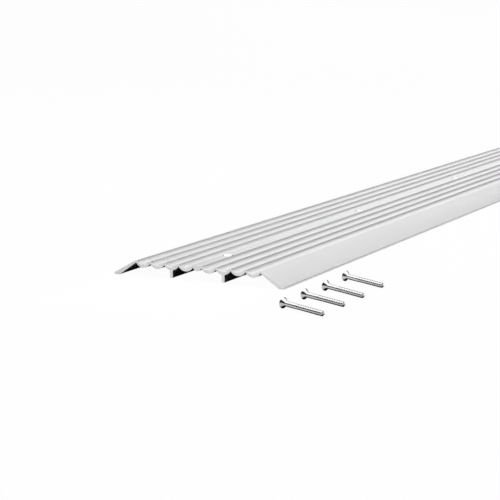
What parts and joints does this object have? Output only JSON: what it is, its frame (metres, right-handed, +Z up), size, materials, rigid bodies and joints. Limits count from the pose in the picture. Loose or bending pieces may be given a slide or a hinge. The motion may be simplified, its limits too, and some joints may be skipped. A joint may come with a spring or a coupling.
{
  "type": "threshold strip",
  "caption": "Fluted saddle door threshold of extruded aluminium with sloping ramps, legs underneath and countersunk holes, and its loose flat-head wood screws.",
  "frame": {"origin": "the middle of the strip, on its centre line, at floor level", "axes": "+X runs across the doorway towards the side where the loose screws lie, +Y runs along the strip away from the end where they lie, +Z is up"},
  "size_m": [0.2212, 0.9905, 0.0127],
  "materials": {
    "mill_aluminium": "satin mill finish with fine lines along the extrusion, saw-cut ends",
    "plated_steel": "bright zinc plating"
  },
  "bodies": {
    "strip": {"threshold_strip": "mill_aluminium"},
    "screw_1": {"screw_1": "plated_steel"},
    "screw_2": {"screw_2": "plated_steel"},
    "screw_3": {"screw_3": "plated_steel"},
    "screw_4": {"screw_4": "plated_steel"}
  },
  "joints": [
    {"name": "screw_1_lift", "type": "slide", "parent": "strip", "child": "screw_1", "axis": [0, 0, 1], "range_m": [0, 0.1]},
    {"name": "screw_2_lift", "type": "slide", "parent": "strip", "child": "screw_2", "axis": [0, 0, 1], "range_m": [0, 0.1]},
    {"name": "screw_3_lift", "type": "slide", "parent": "strip", "child": "screw_3", "axis": [0, 0, 1], "range_m": [0, 0.1]},
    {"name": "screw_4_lift", "type": "slide", "parent": "strip", "child": "screw_4", "axis": [0, 0, 1], "range_m": [0, 0.1]}
  ]
}
